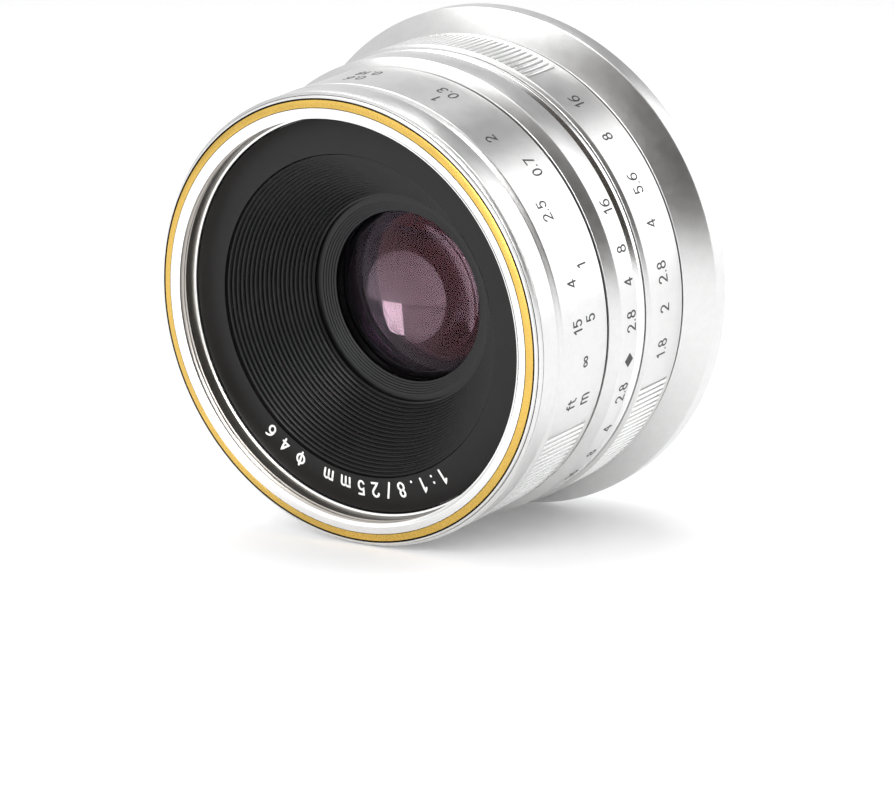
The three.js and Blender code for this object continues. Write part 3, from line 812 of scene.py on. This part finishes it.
# -------------------------------------------------------------------- mount
plate = turn("bayonet_plate_fine", [(20.6, -1.2), (27.0, -1.2, 0.04), (27.0, -0.25, 0.05), (26.75, 0.0, 0.05), (24.0, 0.0, 0.0), (22.35, 0.0, 0.05), (22.2, 0.12, 0.03),
                                    (22.2, 2.4, 0.0), (22.2, 5.3, 0.06), (21.9, 5.6, 0.05), (20.85, 5.6, 0.05), (20.6, 5.35, 0.05)],
             chrome, "fixed_body", ("bayonet_plate",), 240)


def lug(a_mid, span):
    n = 22
    sect = rounded([(21.6, 2.7), (23.9, 2.7, 0.10), (23.9, 4.3, 0.30), (21.6, 4.3)], 0.0, 4)
    sect = [(r, y) for r, y in sect]
    verts, faces = [], []
    m = len(sect)
    for i in range(n + 1):
        t = i / n
        a = (a_mid + span * (t - 0.5)) * D2R
        ease = 1.0 - 0.55 * max(0.0, abs(t - 0.5) * 2 - 0.93) / 0.07 * 0.5
        for r, y in sect:
            rr = 21.6 + (r - 21.6) * ease
            verts.append((rr * math.cos(a), y, rr * math.sin(a)))
    for i in range(n):
        for j in range(m):
            k = (j + 1) % m
            faces.append((i * m + j, i * m + k, (i + 1) * m + k, (i + 1) * m + j))
    faces.append(tuple(range(m)))
    faces.append(tuple(n * m + j for j in reversed(range(m))))
    return put("tool", verts, faces, [chrome])


boolean(plate, [lug(a, 44) for a in (35, 155, 275)], "UNION")
cutters = []
for a in (95, 195, 245, 335):
    cutters.append(tool_rod(1.95, -1.0, 0.5, 24.6, a))
    cutters.append(tool_rod(1.1, -2.0, -0.9, 24.6, a, 32))
cutters.append(tool_rod(1.5, -0.9, 0.5, 25.0, 5))
cutters.append(tool_rod(1.15, -0.7, 0.5, 25.2, 62))
boolean(plate, cutters)


def local_turn(name, prof2, mat, rc, a, seg, body, node):
    """A small turned piece about its own axis, parallel to Y at radius rc and angle a."""
    cx, cz = rc * math.cos(a * D2R), rc * math.sin(a * D2R)
    verts, faces, rings = [], [], []
    for r, y in prof2:
        if r == 0:
            rings.append([len(verts)])
            verts.append((cx, y, cz))
        else:
            rings.append(list(range(len(verts), len(verts) + seg)))
            verts += [(cx + r * math.cos(t * D2R), y, cz + r * math.sin(t * D2R)) for t in even(seg)]
    for p, q in zip(rings, rings[1:]):
        for j in range(seg):
            k = (j + 1) % seg
            if len(p) == 1:
                faces.append((p[0], q[k], q[j]))
            elif len(q) == 1:
                faces.append((p[j], p[k], q[0]))
            else:
                faces.append((p[j], p[k], q[k], q[j]))
    return put(name, verts, faces, [mat], body, (node,), None, 32.0)


for i, a in enumerate((95, 195, 245, 335)):
    s = local_turn("mount_screw_%d_fine" % (i + 1), [(0, -0.06), (1.2, -0.06), (1.55, -0.09), (1.70, -0.17), (1.75, -0.30), (1.75, -0.88), (0.8, -0.88), (0.8, -2.5), (0.7, -2.6), (0, -2.6)],
                   steel, 24.6, a, 40, "fixed_body", "mount_screw_%d" % (i + 1))
    cross = [tool_box(-0.95, 0.95, -0.5, 0.3, -0.16, 0.16, a, 24.6, 0.0, 20 + 31 * i), tool_box(-0.16, 0.16, -0.5, 0.3, -0.95, 0.95, a, 24.6, 0.0, 20 + 31 * i)]
    boolean(s, cross)
local_turn("alignment_dot_fine", [(0, -0.02), (0.5, -0.03), (0.82, -0.09), (0.98, -0.2), (1.0, -0.3), (1.0, -0.65), (0, -0.65)], dot_red, 25.2, 62, 40, "fixed_body", "alignment_dot")

baf = [(12.6, -0.6, 0.03), (20.2, -0.6, 0.05), (20.2, 0.8, 0.08), (14.4, 0.8, 0.06)]
for k in range(4):
    rr, yy = 14.2 - 1.6 * k / 4, 0.75 - 1.25 * k / 4
    baf.append((rr, yy, 0.02))
    baf.append((rr - 0.06, yy - 0.24, 0.02))
turn("rear_baffle_fine", baf, plastic, "fixed_body", ("rear_baffle",), 192, 0.03)

# the pieces that stay as packed take their finish here
for node, mat in (("guide_key_1", steel), ("guide_key_2", steel), ("focus_stop_screw", steel), ("fixed_barrel", black_al), ("focus_helicoid", brass),
                  ("aperture_pin_1", steel), ("aperture_pin_2", steel), ("aperture_fork", black_al), ("iris_drive_ring", brass)):
    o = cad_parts[node]
    o.data.materials.clear()
    o.data.materials.append(mat)

# -------------------------------------------------------------------- stage
nrm = Vector((0.0, 0.1257, 0.9921)).normalized()
p0 = Vector((0.0, -3.36, -29.54)) * MM
p1 = Vector((0.0, -32.56, -25.85)) * MM
nrm = Vector((0.0, (p1 - p0).z * -1.0, (p1 - p0).y)).normalized()
if nrm.z < 0:
    nrm = -nrm
ax = Vector((1, 0, 0))
ay = nrm.cross(ax).normalized()
origin = p0 - nrm * 0.00004
fv, ff = [tuple(origin)], []
rads = (0.05, 0.15, 0.4, 1.0, 2.5, 6.0)
seg = 96
for rr in rads:
    for i in range(seg):
        a = 2 * math.pi * i / seg
        fv.append(tuple(origin + ax * (rr * math.cos(a)) + ay * (rr * math.sin(a))))
for i in range(seg):
    ff.append((0, 1 + i, 1 + (i + 1) % seg))
for k in range(len(rads) - 1):
    for i in range(seg):
        a, b = 1 + k * seg + i, 1 + k * seg + (i + 1) % seg
        ff.append((a, a + seg, b + seg, b))
floor_me = bpy.data.meshes.new("studio_floor")
floor_me.from_pydata(fv, [], ff)
floor_mat = finish_of("studio_floor_white", (0.90, 0.90, 0.905), 0.75, 0.0, tint=0.006, grain_mm=1.5, grain=0.04, grain_depth=0.02, patch_mm=60.0, spec=0.15)
floor_mat.node_tree.nodes["Principled BSDF"].inputs["Emission Color"].default_value = (1.0, 1.0, 1.0, 1.0)
floor_mat.node_tree.nodes["Principled BSDF"].inputs["Emission Strength"].default_value = 0.12
floor_me.materials.append(floor_mat)
floor = bpy.data.objects.new("studio_floor", floor_me)
SCENE.collection.objects.link(floor)

# ------------------------------------------------------------------- lights
world = bpy.data.worlds.new("studio_world")
SCENE.world = world
world.use_nodes = True
wt = world.node_tree
bg = wt.nodes["Background"]
wc = wt.nodes.new("ShaderNodeTexCoord")


def lobe(direction, lo, hi):
    d = Vector(direction).normalized()
    dot = wt.nodes.new("ShaderNodeVectorMath")
    dot.operation = "DOT_PRODUCT"
    dot.inputs[1].default_value = d
    wt.links.new(wc.outputs["Generated"], dot.inputs[0])
    mr = wt.nodes.new("ShaderNodeMapRange")
    mr.interpolation_type = "SMOOTHSTEP"
    mr.inputs["From Min"].default_value = lo
    mr.inputs["From Max"].default_value = hi
    wt.links.new(dot.outputs["Value"], mr.inputs["Value"])
    return mr.outputs[0]


def mix(fac, a, b):
    m = wt.nodes.new("ShaderNodeMix")
    m.data_type = "RGBA"
    wt.links.new(fac, m.inputs["Factor"])
    if isinstance(a, tuple):
        m.inputs[6].default_value = (*a, 1)
    else:
        wt.links.new(a, m.inputs[6])
    if isinstance(b, tuple):
        m.inputs[7].default_value = (*b, 1)
    else:
        wt.links.new(b, m.inputs[7])
    return m.outputs[2]


WORLD_BASE = (0.84, 0.84, 0.845)
c = mix(lobe((-0.10, 0.75, 0.66), 0.86, 0.975), WORLD_BASE, (0.34, 0.34, 0.345))
c = mix(lobe((0.30, -0.93, 0.16), 0.80, 0.975), c, (1.8, 1.8, 1.8))
c = mix(lobe((-0.50, -0.74, 0.44), 0.86, 0.975), c, (1.4, 1.4, 1.4))
c = mix(lobe((0.80, -0.46, 0.36), 0.80, 0.91), c, (0.040, 0.032, 0.026))
c = mix(lobe((0.45, -0.50, 0.74), 0.84, 0.93), c, (0.050, 0.040, 0.034))
wt.links.new(c, bg.inputs["Color"])
bg.inputs["Strength"].default_value = 1.0


def softbox(name, direction, distance, width, height, radiance, target=(0, -18, 0)):
    d = Vector(direction).normalized()
    la = bpy.data.lights.new(name, "AREA")
    la.shape = "RECTANGLE"
    la.size = width
    la.size_y = height
    la.energy = radiance * math.pi * width * height
    lo = bpy.data.objects.new(name, la)
    SCENE.collection.objects.link(lo)
    t = Vector(target) * MM
    pos = t + d * distance
    z = d
    x = Vector((0, 0, 1)).cross(z)
    x = x.normalized() if x.length > 1e-4 else Vector((1, 0, 0))
    yv = z.cross(x)
    lo.matrix_world = Matrix(((x.x, yv.x, z.x, pos.x), (x.y, yv.y, z.y, pos.y), (x.z, yv.z, z.z, pos.z), (0, 0, 0, 1)))
    return lo


softbox("softbox_right", (0.575, 0.776, 0.30), 0.75, 0.42, 0.60, 1.6)
softbox("softbox_top", (-0.25, 0.30, 0.95), 0.9, 0.8, 0.7, 2.6)
softbox("softbox_front", (0.20, -0.95, 0.12), 0.5, 0.26, 0.90, 7.0)
